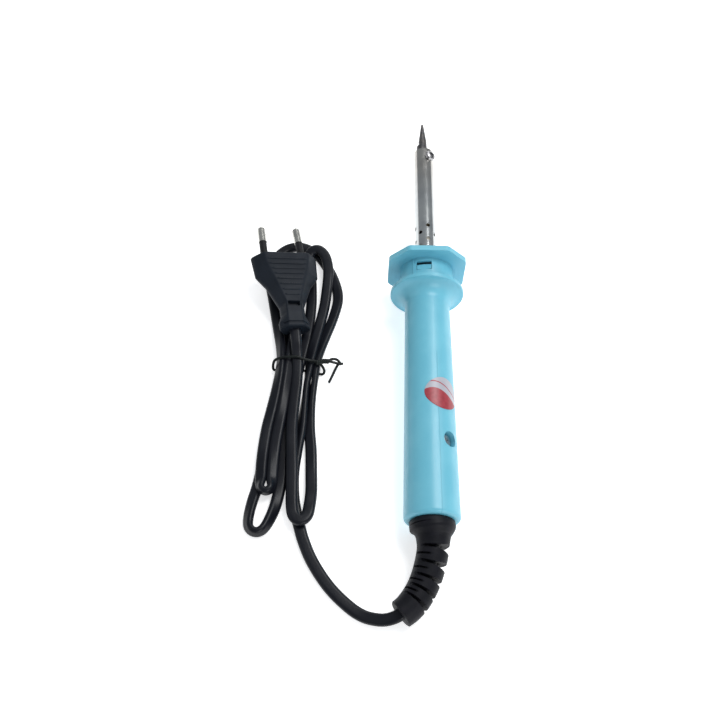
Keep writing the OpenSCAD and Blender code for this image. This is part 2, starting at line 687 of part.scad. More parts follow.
handle();
front_guard();
barrel();
barrel_ring();
retainer_plate();
retainer_screws();
tip();
clamp_screw();
heater_former();
inner_mica();
heater_winding();
outer_mica();
ceramic_bush();
heater_leads();
lead_sleeves();
terminal_block();
terminal_tubes();
terminal_screws();
cord_cores();
cord_tail();
cord_anchor();
anchor_screw();
rating_label();
cord_boot();
cord_lead();
cord_hank();
cord_tie();
plug_body();
plug_pins();
pin_sleeves();
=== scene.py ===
"""Mains soldering iron: finishes, flat cord, strain relief, wire tie and plug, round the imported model."""

import json
import logging
import math
from dataclasses import dataclass
from enum import Enum
from typing import Any, Union

import bpy
import numpy as np
from mathutils import Matrix, Vector


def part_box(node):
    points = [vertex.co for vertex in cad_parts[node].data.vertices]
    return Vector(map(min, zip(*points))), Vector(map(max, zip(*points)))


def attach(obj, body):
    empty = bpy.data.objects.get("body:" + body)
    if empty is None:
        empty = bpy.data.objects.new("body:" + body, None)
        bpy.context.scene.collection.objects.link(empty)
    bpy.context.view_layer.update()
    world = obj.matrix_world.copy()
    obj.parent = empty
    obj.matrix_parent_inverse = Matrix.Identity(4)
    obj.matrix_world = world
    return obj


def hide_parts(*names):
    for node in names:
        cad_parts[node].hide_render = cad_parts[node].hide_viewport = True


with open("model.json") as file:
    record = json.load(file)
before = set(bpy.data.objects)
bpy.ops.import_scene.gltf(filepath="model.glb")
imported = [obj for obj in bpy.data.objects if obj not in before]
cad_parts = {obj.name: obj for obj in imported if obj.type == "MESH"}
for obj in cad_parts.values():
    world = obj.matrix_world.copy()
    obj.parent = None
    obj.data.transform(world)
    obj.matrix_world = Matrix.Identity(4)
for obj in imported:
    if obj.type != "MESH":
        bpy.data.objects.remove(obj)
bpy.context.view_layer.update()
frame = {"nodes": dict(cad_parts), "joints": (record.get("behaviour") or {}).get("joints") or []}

LOG = logging.getLogger("soldering_iron")
MM = 0.001
IRON = "iron"
UP = np.array([0.0, 0.0, 1.0])
NOISE_DETAIL = 3.0
COAT_ROUGHNESS = 0.12
ROUGH_BY_PATCH = 0.16
ROUGH_BY_GRAIN = 0.08
Colour = tuple[float, float, float]
Points = np.ndarray


# ---------------------------------------------------------------- paths and surfaces


def smooth_path(points: Points, steps: int) -> Points:
    """Runs a cubic through each pair of neighbours, with the slope set by the points on either side.

    Args:
        points: One row for each point, with any number of columns.
        steps: How many places are worked out between two neighbours.

    Returns:
        The smooth run, one row for each place, with the last point kept.
    """
    padded = np.vstack([points[:1], points, points[-1:]])
    a, b, c, d = padded[:-3, None], padded[1:-2, None], padded[2:-1, None], padded[3:, None]
    t = (np.arange(steps) / steps)[None, :, None]
    run = 0.5 * (2 * b + (c - a) * t + (2 * a - 5 * b + 4 * c - d) * t**2 + (3 * b - a - 3 * c + d) * t**3)
    return np.vstack([run.reshape(-1, points.shape[1]), points[-1:]])


def lengths_along(path: Points) -> Points:
    """Returns the distance from the start to each point of a path, in its own units."""
    return np.concatenate([[0.0], np.cumsum(np.linalg.norm(np.diff(path[:, :3], axis=0), axis=1))])


def evenly(path: Points, spacing: float) -> Points:
    """Returns the same path with its points a fixed distance apart, every column carried along."""
    along = lengths_along(path)
    places = np.linspace(0, along[-1], max(2, int(round(along[-1] / spacing)) + 1))
    return np.stack([np.interp(places, along, column) for column in path.T], axis=1)


def directions(path: Points, turn: Points) -> tuple[Points, Points]:
    """Finds the sideways and upward directions of a section carried along a path.

    The sideways direction starts level and square to the path, and the pair is then turned about the path.

    Args:
        path: Points of the centre line.
        turn: Angle at each point, in radians, that lifts the sideways direction.

    Returns:
        The sideways and the upward unit vectors, one row for each point.
    """
    tangent = np.gradient(path, axis=0)
    tangent /= np.linalg.norm(tangent, axis=1, keepdims=True)
    side = np.cross(tangent, UP)
    side /= np.linalg.norm(side, axis=1, keepdims=True)
    up = np.cross(side, tangent)
    c, s = np.cos(turn)[:, None], np.sin(turn)[:, None]
    return side * c + up * s, up * c - side * s


def carried(path: Points, across: Points, high: Points, turn: Union[float, Points] = 0.0) -> Points:
    """Carries a section along a path: centre + sideways * across + upward * high.

    Args:
        path: Centre line, one row for each ring.
        across: Sideways distance, for each ring and each place round it.
        high: Upward distance, for each ring and each place round it.
        turn: Angle of the section about the path, in radians.

    Returns:
        A grid of points, rings by places by three.
    """
    side, up = directions(path, np.broadcast_to(turn, len(path)).astype(float))
    return path[:, None] + side[:, None] * across[..., None] + up[:, None] * high[..., None]


def round_tube(path: Points, radius: Union[float, Points], places: int = 12) -> Points:
    """Returns the grid of a round tube: a circle of the given radius carried along the path."""
    around = np.arange(places) * 2 * math.pi / places
    size = np.broadcast_to(radius, len(path))[:, None]
    return carried(path, size * np.cos(around), size * np.sin(around))


def turned(profile: list[tuple[float, float]], places: int = 72) -> Points:
    """Turns a profile of radius and place pairs round the Y axis: (r sin a, y, r cos a)."""
    outline = np.array(profile, float)
    around = np.arange(places) * 2 * math.pi / places
    radius, along = outline[:, :1], np.broadcast_to(outline[:, 1:], (len(outline), places))
    return np.stack([radius * np.sin(around), along, radius * np.cos(around)], axis=2)


def step(values: Points, low: float, high: float) -> Points:
    """Rises smoothly from 0 at low to 1 at high: t * t * (3 - 2 t)."""
    t = np.clip((values - low) / (high - low), 0, 1)
    return t * t * (3 - 2 * t)


def band(values: Points, low: float, high: float, soft: float) -> Points:
    """Is 1 between low and high and 0 outside, each edge a smooth step that is twice soft wide."""
    return step(values, low - soft, low + soft) * (1 - step(values, high - soft, high + soft))


def shell_faces(rings: int, places: int) -> tuple[Points, Points]:
    """Lists the faces of a tube: four-sided ones between rings, and fans that close its two ends.

    Args:
        rings: How many rings the tube has.
        places: How many points each ring has.

    Returns:
        The four-sided and the three-sided faces; the fans' centres come after the rings' points.
    """
    i, j = np.meshgrid(np.arange(rings - 1), np.arange(places), indexing="ij")
    here, there = i * places, (i + 1) * places
    following = (j + 1) % places
    quads = np.stack([here + j, here + following, there + following, there + j], axis=2).reshape(-1, 4)
    k = np.arange(places)
    after, end = (k + 1) % places, (rings - 1) * places
    first = np.stack([np.full(places, rings * places), after, k], axis=1)
    second = np.stack([np.full(places, rings * places + 1), end + k, end + after], axis=1)
    return quads, np.vstack([first, second])


def make_piece(name: str, shells: list[Points], crease: float) -> bpy.types.Object:
    """Builds one mesh object out of closed shells, with every face pointing outwards.

    Each shell's volume is summed from its faces, and a shell with a negative volume is turned over.

    Args:
        name: Name of the piece.
        shells: Grids of points in metres, rings by places by three.
        crease: Angle in degrees above which an edge stays sharp.

    Returns:
        The new object, at the origin.
    """
    points, faces, start = [], [], 0
    for grid in shells:
        rings, places, _ = grid.shape
        flat = np.vstack([grid.reshape(-1, 3), grid[0].mean(0), grid[-1].mean(0)])
        quads, fans = shell_faces(rings, places)
        corners = np.vstack([quads[:, [0, 1, 2]], quads[:, [0, 2, 3]], fans])
        a, b, c = (flat[corners[:, k]] for k in range(3))
        if np.einsum("ij,ij->i", a, np.cross(b, c)).sum() < 0:
            quads, fans = quads[:, ::-1], fans[:, ::-1]
        points.append(flat)
        faces += (quads + start).tolist() + (fans + start).tolist()
        start += len(flat)
    mesh = bpy.data.meshes.new(name)
    mesh.from_pydata(np.vstack(points).tolist(), [], faces)
    mesh.shade_smooth()
    mesh.set_sharp_from_angle(angle=math.radians(crease))
    mesh.update()
    piece = bpy.data.objects.new(name, mesh)
    bpy.context.scene.collection.objects.link(piece)
    return piece


def placed(grid: Points, matrix: Matrix) -> Points:
    """Returns a grid of points in millimetres moved by a matrix whose place is in metres."""
    turn = np.array(matrix.to_3x3())
    return grid * MM @ turn.T + np.array(matrix.translation)


# ---------------------------------------------------------------- shader expressions


class Value:
    """A shader socket that adds a Math node for each operator used on it."""

    def __init__(self, tree: "Tree", socket: bpy.types.NodeSocket) -> None:
        """Keeps the socket and the tree that it belongs to."""
        self.tree = tree
        self.socket = socket

    def math(self, operation: str, *terms: Any) -> "Value":
        """Returns the result of one Math node on the given terms."""
        return self.tree.value("ShaderNodeMath", {"operation": operation}, dict(enumerate(terms)))

    def __add__(self, other: Any) -> "Value":
        """Adds."""
        return self.math("ADD", self, other)

    def __radd__(self, other: Any) -> "Value":
        """Adds, with the number first."""
        return self.math("ADD", other, self)

    def __sub__(self, other: Any) -> "Value":
        """Subtracts."""
        return self.math("SUBTRACT", self, other)

    def __rsub__(self, other: Any) -> "Value":
        """Subtracts from a number."""
        return self.math("SUBTRACT", other, self)

    def __mul__(self, other: Any) -> "Value":
        """Multiplies."""
        return self.math("MULTIPLY", self, other)

    def __rmul__(self, other: Any) -> "Value":
        """Multiplies, with the number first."""
        return self.math("MULTIPLY", other, self)

    def __abs__(self) -> "Value":
        """Drops the sign."""
        return self.math("ABSOLUTE", self)

    def between(self, low: float, high: float) -> "Value":
        """Rises smoothly from 0 at low to 1 at high."""
        sockets = {"Value": self, "From Min": low, "From Max": high}
        return self.tree.value("ShaderNodeMapRange", {"interpolation_type": "SMOOTHSTEP"}, sockets)


class Tree:
    """The node tree of one material."""

    def __init__(self, name: str) -> None:
        """Makes an empty material of that name."""
        self.material = bpy.data.materials.new(name)
        self.material.use_nodes = True
        self.nodes = self.material.node_tree.nodes
        self.nodes.clear()
        self.place = self.node("ShaderNodeTexCoord").outputs["Object"]

    def node(
        self, kind: str, settings: Union[dict, None] = None, sockets: Union[dict, None] = None
    ) -> bpy.types.Node:
        """Adds a node, sets what it is, then fills its sockets.

        Args:
            kind: Type of the node.
            settings: Properties by name, set before any socket.
            sockets: Numbers, colours, Values or sockets, by the input's name or number.

        Returns:
            The new node.
        """
        node = self.nodes.new(kind)
        for name, setting in (settings or {}).items():
            setattr(node, name, setting)
        for name, source in (sockets or {}).items():
            source = source.socket if isinstance(source, Value) else source
            if isinstance(source, bpy.types.NodeSocket):
                self.material.node_tree.links.new(source, node.inputs[name])
            else:
                node.inputs[name].default_value = source
        return node

    def value(self, kind: str, settings: dict, sockets: dict) -> Value:
        """Adds a node and returns its first output as a Value."""
        return Value(self, self.node(kind, settings, sockets).outputs[0])

    def blend(self, share: Any, first: Any, second: Any) -> Any:
        """Returns a colour between first and second; a share of 1 gives the second."""
        first, second = ((*c, 1) if isinstance(c, tuple) else c for c in (first, second))
        return self.node("ShaderNodeMix", {"data_type": "RGBA"}, {0: share, 6: first, 7: second}).outputs[2]

    def stretched(self, scale: tuple, turn: tuple = (0, 0, 0), move: tuple = (0, 0, 0)) -> Any:
        """Returns the place on the piece, scaled, turned and then moved."""
        sockets = {"Vector": self.place, "Location": move, "Rotation": turn, "Scale": scale}
        return self.node("ShaderNodeMapping", None, sockets).outputs[0]

    def noise(self, size: float, place: Any = None) -> Value:
        """Returns noise from 0 to 1 whose lumps are size millimetres across."""
        sockets = {"Vector": place or self.place, "Scale": 1 / (size * MM), "Detail": NOISE_DETAIL}
        return self.value("ShaderNodeTexNoise", {"noise_dimensions": "3D"}, sockets)

    def split(self, place: Any) -> tuple[Value, Value, Value]:
        """Returns the three numbers of a place."""
        outputs = self.node("ShaderNodeSeparateXYZ", None, {0: place}).outputs
        return Value(self, outputs[0]), Value(self, outputs[1]), Value(self, outputs[2])

    def bump(self, height: Value, depth: float) -> Any:
        """Returns a normal bent by a height from 0 to 1 that stands for depth millimetres."""
        sockets = {"Strength": 1.0, "Distance": depth * MM, "Height": height}
        return self.node("ShaderNodeBump", None, sockets).outputs[0]

    def close(self, sockets: dict) -> bpy.types.Material:
        """Adds the surface shader with its sockets and returns the finished material."""
        shader = self.node("ShaderNodeBsdfPrincipled", None, sockets)
        self.node("ShaderNodeOutputMaterial", None, {"Surface": shader.outputs[0]})
        return self.material


# ---------------------------------------------------------------- finishes


class Grain(Enum):
    """Fine detail of a surface: how much its noise varies along X, Y and Z; small numbers stretch it."""

    MOULDED = (1.0, 1.0, 1.0)
    ALONG = (1.0, 0.03, 1.0)
    ROUND = (0.04, 1.0, 0.04)
    WOUND = (0.1, 1.0, 0.1)


@dataclass(frozen=True)
class Finish:
    """A finish with soft patches of a second colour and a fine grain."""

    name: str
    colour: Colour
    patch: Colour
    roughness: float
    metallic: float = 0.0
    grain: Grain = Grain.MOULDED
    grain_size: float = 0.35
    grain_depth: float = 0.02
    patch_size: float = 9.0
    coat: float = 0.0
    shine: float = 0.5
    patch_from: float = 0.35
    patch_to: float = 0.7

    def base(self, tree: Tree) -> Any:
        """Returns the colour over the surface."""
        patches = tree.noise(self.patch_size).between(self.patch_from, self.patch_to)
        return tree.blend(patches, self.colour, self.patch)

    def height(self, tree: Tree) -> Value:
        """Returns the height of the grain, from 0 to 1."""
        return tree.noise(self.grain_size, tree.stretched(self.grain.value))

    def dress(self) -> bpy.types.Material:
        """Returns the material of this finish."""
        tree = Tree(self.name)
        height = self.height(tree)
        worn = tree.noise(self.patch_size * 0.6) - 0.5
        rough = self.roughness + worn * ROUGH_BY_PATCH + (height - 0.5) * ROUGH_BY_GRAIN
        return tree.close({
            "Base Color": self.base(tree),
            "Roughness": rough,
            "Metallic": self.metallic,
            "Coat Weight": self.coat,
            "Coat Roughness": COAT_ROUGHNESS,
            "Specular IOR Level": self.shine,
            "Normal": tree.bump(height, self.grain_depth),
        })


@dataclass(frozen=True)
class HandlePlastic(Finish):
    """Satin moulded plastic with a parting line along the top of the handle."""

    axis_height: float = 0.018
    tilt: float = 0.05
    line_turn: float = math.radians(17)
    line_half: float = 0.22
    line_front: float = -0.036
    line_fade: float = 0.004
    line_above: float = 0.02
    line_share: float = 0.45
    grain_share: float = 0.2
    line_colour: Colour = (0.09, 0.36, 0.48)

    def line(self, tree: Tree) -> Value:
        """Is 1 on the parting line and 0 off it.

        The line lies near a plane through the axis, behind its own front end and above the axis.
        """
        level = tree.stretched((1, 1, 1), (-self.tilt, 0, 0))
        across, along, up = tree.split(level)
        off = abs(across * math.cos(self.line_turn) - (up - self.axis_height) * math.sin(self.line_turn))
        on = 1 - off.between(self.line_half * MM * 0.5, self.line_half * MM)
        behind = 1 - along.between(self.line_front, self.line_front + self.line_fade)
        return on * behind * up.between(self.line_above, self.line_above + MM)

    def base(self, tree: Tree) -> Any:
        """Darkens the plastic a little along the parting line."""
        return tree.blend(self.line(tree) * self.line_share, super().base(tree), self.line_colour)

    def height(self, tree: Tree) -> Value:
        """Raises the parting line over the moulded grain."""
        return tree.noise(self.grain_size) * self.grain_share + self.line(tree)


@dataclass(frozen=True)
class TintedSteel(Finish):
    """Bright steel that heat has turned straw and brown over one stretch."""

    tint: Colour = (0.36, 0.27, 0.18)
    tint_share: float = 0.55
    tint_size: float = 5.0
    tint_least: float = 0.35
    tint_noise: float = 0.5
    cold_y: float = 0.05
    hot_y: float = 0.085

    def base(self, tree: Tree) -> Any:
        """Blends the heat tint in along the barrel, broken up by noise."""
        _, along, _ = tree.split(tree.place)
        uneven = self.tint_least + tree.noise(self.tint_size) * self.tint_noise
        heat = along.between(self.cold_y, self.hot_y) * uneven
        return tree.blend(heat * self.tint_share, super().base(tree), self.tint)


@dataclass(frozen=True)
class StickerFilm(Finish):
    """Printed film with no lettering: a red field below a curve, a pale one above it with a thin red rule."""

    centre: Colour = (0.0, 0.0, 0.0)
    red: Colour = (0.36, 0.04, 0.055)
    red_deep: Colour = (0.27, 0.028, 0.04)
    fall: float = 0.36
    arch: float = 60.0
    rise: float = 1.4
    soft_edge: float = 0.15
    rule_high: float = 3.2
    rule_half: float = 0.2
    ink_size: float = 1.4

    def base(self, tree: Tree) -> Any:
        """Lays the print out from the sticker's centre, along the handle and across it."""
        from_centre = tree.stretched((1, 1, 1), (0, 0, 0), tuple(-c for c in self.centre))
        across, along, _ = tree.split(from_centre)
        edge = along + across * self.fall + across * across * self.arch - self.rise * MM
        soft = self.soft_edge * MM
        lower = 1 - edge.between(-soft, soft)
        rule = 1 - abs(edge - self.rule_high * MM).between(self.rule_half * MM, self.rule_half * MM + soft)
        printed = tree.blend(tree.noise(self.ink_size).between(0.3, 0.8), self.red, self.red_deep)
        return tree.blend(lower, tree.blend(rule, super().base(tree), self.red), printed)


HANDLE = HandlePlastic("handle_plastic", (0.138, 0.47, 0.605), (0.156, 0.498, 0.63), 0.42, grain_size=0.5,
                       grain_depth=0.05, coat=0.1)
BARREL = TintedSteel("barrel_steel", (0.56, 0.58, 0.58), (0.48, 0.5, 0.51), 0.2, 1.0, Grain.ALONG, 0.3,
                     0.004)
PLATED = Finish("plated_steel", (0.55, 0.56, 0.58), (0.48, 0.49, 0.5), 0.34, 1.0, Grain.ROUND, 0.3, 0.01)
TIP = Finish("tip_plating", (0.075, 0.073, 0.078), (0.13, 0.12, 0.115), 0.42, 0.75, Grain.ROUND, 0.35, 0.02,
             3.5)
SCREW = Finish("screw_steel", (0.42, 0.42, 0.43), (0.3, 0.29, 0.29), 0.3, 1.0, Grain.ROUND, 0.2, 0.01, 2.0)
FORMER = Finish("former_steel", (0.36, 0.33, 0.3), (0.25, 0.2, 0.17), 0.4, 1.0, Grain.ROUND, 0.3, 0.01)
MICA = Finish("mica", (0.55, 0.45, 0.26), (0.38, 0.3, 0.16), 0.35, 0.1, Grain.WOUND, 1.2, 0.05, 3.0)
WIRE = Finish("resistance_wire", (0.45, 0.42, 0.38), (0.3, 0.26, 0.22), 0.38, 1.0, Grain.WOUND, 0.5, 0.03,
              3.0)
# Grey-brown ceramic: the tone is partly the ceramic's own colour and partly painted shade, darker than the
# pale ceramic so the bush stays dark where it shows through the barrel's vent holes.
CERAMIC_WITH_PAINTED_SHADE = Finish("ceramic", (0.36, 0.33, 0.28), (0.27, 0.24, 0.2), 0.62, 0.0, Grain.MOULDED, 0.3, 0.03)
SLEEVE = Finish("glass_sleeve", (0.75, 0.72, 0.62), (0.62, 0.58, 0.47), 0.8, 0.0, Grain.WOUND, 0.4, 0.12,
                2.0)
BRASS = Finish("terminal_brass", (0.72, 0.52, 0.22), (0.6, 0.42, 0.17), 0.3, 1.0, Grain.ROUND, 0.25, 0.01)
CORE = Finish("core_plastic", (0.3, 0.15, 0.08), (0.24, 0.12, 0.06), 0.45, 0.0, Grain.MOULDED, 0.4, 0.01)
CORD = Finish("cord_plastic", (0.004, 0.005, 0.0085), (0.008, 0.009, 0.013), 0.34, 0.0, Grain.MOULDED, 0.5,
              0.02, 14.0, shine=0.22)
BLACK = Finish("black_plastic", (0.007, 0.0075, 0.009), (0.011, 0.011, 0.013), 0.5, 0.0, Grain.MOULDED, 0.3,
               0.015, shine=0.18)
BOOT = Finish("boot_rubber", (0.003, 0.0035, 0.006), (0.006, 0.006, 0.01), 0.52, 0.0, Grain.MOULDED, 0.4,
              0.035, 5.0, shine=0.18)
TIE = Finish("tie_plastic", (0.006, 0.008, 0.008), (0.012, 0.015, 0.014), 0.4, 0.0, Grain.MOULDED, 0.4,
             0.02, 3.0, shine=0.18)
PLUG = Finish("plug_plastic", (0.007, 0.0105, 0.0165), (0.01, 0.014, 0.021), 0.5, 0.0, Grain.MOULDED, 0.3,
              0.03, 8.0, shine=0.16)
PIN = Finish("pin_metal", (0.6, 0.59, 0.55), (0.48, 0.47, 0.44), 0.24, 1.0, Grain.ROUND, 0.3, 0.006, 4.0)

NODE_FINISHES = {
    "handle": HANDLE, "front_guard": HANDLE, "barrel": BARREL, "barrel_ring": PLATED,
    "retainer_plate": PLATED, "retainer_screws": PLATED, "tip": TIP, "clamp_screw": SCREW,
    "heater_former": FORMER, "inner_mica": MICA, "heater_winding": WIRE, "outer_mica": MICA,
    "ceramic_bush": CERAMIC_WITH_PAINTED_SHADE, "heater_leads": WIRE, "lead_sleeves": SLEEVE, "terminal_block": CERAMIC_WITH_PAINTED_SHADE,
    "terminal_tubes": BRASS, "terminal_screws": BRASS, "cord_cores": CORE, "cord_tail": CORD,
    "cord_anchor": HANDLE, "anchor_screw": PLATED, "plug_pins": PIN, "pin_sleeves": BLACK,
}


class Wardrobe:
    """Makes each finish's material once and puts it on pieces."""

    def __init__(self) -> None:
        """Starts with nothing made."""
        self.made: dict[str, bpy.types.Material] = {}

    def wear(self, piece: bpy.types.Object, finish: Finish) -> None:
        """Puts a finish on a piece, in place of whatever it had."""
        if finish.name not in self.made:
            self.made[finish.name] = finish.dress()
        if not piece.material_slots:
            piece.data.materials.append(self.made[finish.name])
        for slot in piece.material_slots:
            slot.material = self.made[finish.name]

    def finish_piece(self, piece: bpy.types.Object, finish: Finish, *nodes: str) -> bpy.types.Object:
        """Dresses a new piece, lets it ride on the iron and says which nodes it stands for."""
        self.wear(piece, finish)
        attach(piece, IRON)
        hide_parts(*nodes)
        LOG.info("%s: %d faces, stands for %s", piece.name, len(piece.data.polygons), ", ".join(nodes))
        return piece


# ---------------------------------------------------------------- places on the object


@dataclass(frozen=True)
class Places:
    """Points that the pieces are built from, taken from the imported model."""

    guard_t: float = 2.6
    ring_middle: float = 0.55

    def home(self) -> np.ndarray:
        """Returns the point on the ground under the back end of the handle."""
        return np.array([0.0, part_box("handle")[0].y, 0.0])

    def iron(self) -> Matrix:
        """Returns the iron's own frame: Y along the barrel's axis from the back of the guard plate."""
        axis = next(j["axis"] for j in frame["joints"] if j["name"] == "tip_slide")
        tilt = math.asin(axis[2])
        low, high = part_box("barrel_ring")
        back = (self.guard_t + self.ring_middle) * MM
        start = (low + high) / 2 - Matrix.Rotation(tilt, 3, "X") @ Matrix.Identity(3).col[1] * back
        return Matrix.Translation(start) @ Matrix.Rotation(tilt, 4, "X")

    def plug(self, place: tuple, turn: float, pitch: float, roll: float) -> Matrix:
        """Returns the plug's own frame: Y out of its pin face, Z up through its flat side."""
        matrix = Matrix.Translation(self.home() + np.array(place) * MM)
        for angle, axis in ((turn, "Z"), (pitch, "X"), (roll, "Y")):
            matrix = matrix @ Matrix.Rotation(math.radians(angle), 4, axis)
        return matrix


# ---------------------------------------------------------------- cord, strain relief and tie


@dataclass
class FlatCord:
    """The flat two-core cord from the strain relief, through the hank, to the plug.

    A route is a list of points: X, Y and Z in millimetres from the back of the handle, then how far the
    cord is turned on its edge there, from 0, flat, to 1 or -1, on edge.
    """

    width: float = 5.2
    thickness: float = 3.2
    groove: float = 0.1
    groove_half: float = 0.5
    squareness: float = 3.5
    spacing: float = 0.8
    steps: int = 12
    places: int = 28
    crease: float = 60.0
    free: tuple = (
        (-11.4, -34.9, 6.1, 0), (-13, -36, 6, 0), (-16, -37.2, 5, 0), (-19.5, -37.6, 3.8, 0),
        (-23.5, -37, 2.8, 0), (-27.6, -35.6, 2, 0), (-32.4, -32.6, 1.7, 0), (-38.9, -26.8, 1.7, 0),
        (-44.2, -20.4, 1.7, 0), (-49.2, -12.4, 1.7, 0), (-52.6, -4.6, 1.7, 0), (-54.4, 1, 1.7, 0),
    )
    first_run: tuple = (
        (-56.4, 8, 1.7, 0), (-57.9, 16, 1.7, 0), (-58.4, 27, 1.7, 0), (-57.3, 38, 2.1, 0.3),
        (-56, 48, 2.4, 0.5), (-55.3, 60, 2.6, 0.8), (-54.6, 70, 2.7, 1), (-53.8, 80, 2.8, 0.6),
        (-52.5, 91, 2.8, 0.15), (-50.2, 103, 2.8, 0), (-48.3, 114, 3, 0),
    )
    small_loop: tuple = (
        (-47.4, 124, 3.8, 0), (-47, 133, 4.8, 0), (-47.8, 140, 5.1, 0), (-49.5, 145, 5.1, 0),
        (-52.5, 148, 5.1, 0), (-55.6, 147.3, 4.7, 0), (-57.1, 144, 3.8, 0), (-57, 139.5, 2.4, 0),
    )
    second_run: tuple = (
        (-55.6, 133, 1.7, 0), (-54.9, 124, 1.7, 0), (-54.7, 115, 1.7, 0), (-55.2, 105, 1.7, 0),
        (-56.5, 94, 1.7, 0), (-58.5, 82, 1.7, 0), (-60.4, 71, 1.7, 0), (-62.2, 60, 1.7, 0),
        (-63.2, 48, 1.7, 0), (-63.7, 35, 1.7, 0), (-63.5, 24, 1.7, 0),
    )
    left_loop: tuple = (
        (-64.3, 15.5, 1.9, 0.1), (-65.9, 7.8, 2.3, 0.4), (-68.6, 1, 2.8, 0.7), (-71.2, -1.5, 2.9, 0.85),
        (-74, -1.2, 2.9, 0.8), (-75.8, 1.4, 2.6, 0.6), (-75.9, 6.2, 2.4, 0.45), (-74.9, 12.8, 2.2, 0.3),
    )
    third_run: tuple = (
        (-73.5, 19, 1.8, 0.15), (-72.3, 27, 1.7, 0), (-71.6, 38, 1.7, 0), (-70.7, 48, 1.7, 0),
        (-69.2, 60, 1.7, 0), (-67.6, 70, 1.7, 0), (-66.5, 80, 1.7, 0), (-66.4, 91, 1.7, 0),
        (-66.9, 103, 1.7, 0), (-67.6, 114, 1.8, 0.1), (-67.9, 122, 2.3, 0.6),
    )
    hidden_fold: tuple = (
        (-67.9, 127, 2.7, 0.95), (-67.1, 129.2, 2.7, 1), (-65.1, 130.1, 2.7, 1), (-63.1, 129.2, 2.7, 1),
        (-62.3, 127, 2.7, 0.95), (-62, 121, 2.4, 0.7),
    )
    middle_down: tuple = (
        (-61.5, 114, 2.2, 0.4), (-61.4, 105, 2.4, 0.3), (-62, 95, 3.5, 0.3), (-62.7, 86, 4.8, 0.3),
        (-63.2, 77, 5.3, 0.3), (-63.8, 68, 5.2, 0.3), (-64.6, 58, 5, 0.15), (-65.7, 48.5, 4.9, 0),
        (-66.7, 38.5, 4.9, 0), (-67.1, 29, 4.9, 0.1),
    )
    middle_loop: tuple = (
        (-67.1, 22.5, 4.9, 0.2), (-67, 18.5, 4.9, 0.65), (-67.8, 16.8, 4.9, 0.9), (-69.5, 16, 4.9, 1),
        (-71.2, 16.8, 4.9, 0.9), (-72, 18.5, 4.9, 0.65), (-71.9, 22.5, 4.9, 0.2),
    )
    middle_up: tuple = (
        (-72, 29, 5, 0.1), (-71.7, 37, 5, 0), (-70.9, 46.5, 5, 0), (-69.6, 55, 5, 0.1),
        (-68.2, 65, 5.1, 0.3), (-67.2, 75, 5.3, 0.5), (-67, 82, 5.3, 0.6), (-67.8, 90, 4.5, 0.5),
        (-69.4, 99, 3.1, 0.3), (-71.3, 109, 1.9, 0.1), (-73.3, 119, 1.7, 0), (-75, 127, 1.7, 0),
    )
    big_loop: tuple = (
        (-75.6, 134, 1.7, 0), (-74.2, 142.5, 1.7, 0), (-70.4, 148.9, 1.7, 0), (-65, 152, 1.7, 0),
        (-59, 151.4, 1.7, 0), (-52.8, 146.8, 1.7, 0), (-46.9, 137.6, 1.7, 0), (-43.2, 128, 1.8, -0.1),
        (-41.9, 119, 2, -0.2),
    )
    fourth_run: tuple = (
        (-43.8, 108.5, 2.1, -0.25), (-47.2, 97, 2.1, -0.3), (-49.4, 88.5, 2.3, -0.5),
        (-50.4, 80, 2.7, -1), (-51.4, 70, 2.7, -0.9), (-52.5, 60, 2.4, -0.5), (-52.4, 48, 2.1, -0.3),
        (-51.3, 37, 1.9, -0.15), (-50.7, 26, 1.8, 0),
    )
    right_loop: tuple = (
        (-50.3, 17, 2.8, 0), (-50.7, 9.5, 4.4, 0), (-51.6, 5.2, 4.9, 0), (-54.2, 3.1, 5.1, 0),
        (-56.9, 4.9, 5.1, 0), (-58, 9.5, 5.1, 0), (-58.5, 18, 5, 0), (-58.9, 27, 5, 0), (-59.6, 37, 5, 0),
        (-60.1, 48, 5, 0),
    )
    to_plug: tuple = (
        (-59.7, 60, 5, 0), (-59.2, 70, 5.1, 0), (-59.2, 78, 5.7, 0), (-59.7, 84, 7, 0), (-60.3, 90, 9, 0),
        (-61, 95.5, 9.8, 0), (-61.5, 98, 10, 0),
    )

    def route(self) -> Points:
        """Returns the whole route as one even run, with its four columns."""
        parts = (self.free, self.first_run, self.small_loop, self.second_run, self.left_loop,
                 self.third_run, self.hidden_fold, self.middle_down, self.middle_loop, self.middle_up,
                 self.big_loop, self.fourth_run, self.right_loop, self.to_plug)
        points = np.array([point for part in parts for point in part], float)
        return evenly(smooth_path(points, self.steps), self.spacing)

    def section(self) -> tuple[Points, Points]:
        """Returns the cord's section: a flat oval with round edges and a shallow groove down each side.

        Across is e cos a + (w / 2 - e) tanh(q cos a), where e is half the thickness, and high is e sin a
        less the groove, a bell curve round the middle.
        """
        around = np.arange(self.places) * 2 * math.pi / self.places
        edge = self.thickness / 2
        across = edge * np.cos(around) + (self.width / 2 - edge) * np.tanh(self.squareness * np.cos(around))
        dip = 1 - self.groove * np.exp(-(across / self.groove_half) ** 2)
        return across, edge * np.sin(around) * dip

    def build(self, places: Places) -> tuple[bpy.types.Object, Points]:
        """Builds the cord.

        Args:
            places: Where the handle is.

        Returns:
            The cord's piece and the points of its centre line, in metres.
        """
        route = self.route()
        across, high = self.section()
        turn = route[:, 3] * math.pi / 2
        centre = route[:, :3] * MM + places.home()
        shape = (len(route), self.places)
        grid = carried(centre, np.broadcast_to(across * MM, shape), np.broadcast_to(high * MM, shape), turn)
        return make_piece("flat_cord", [grid], self.crease), centre


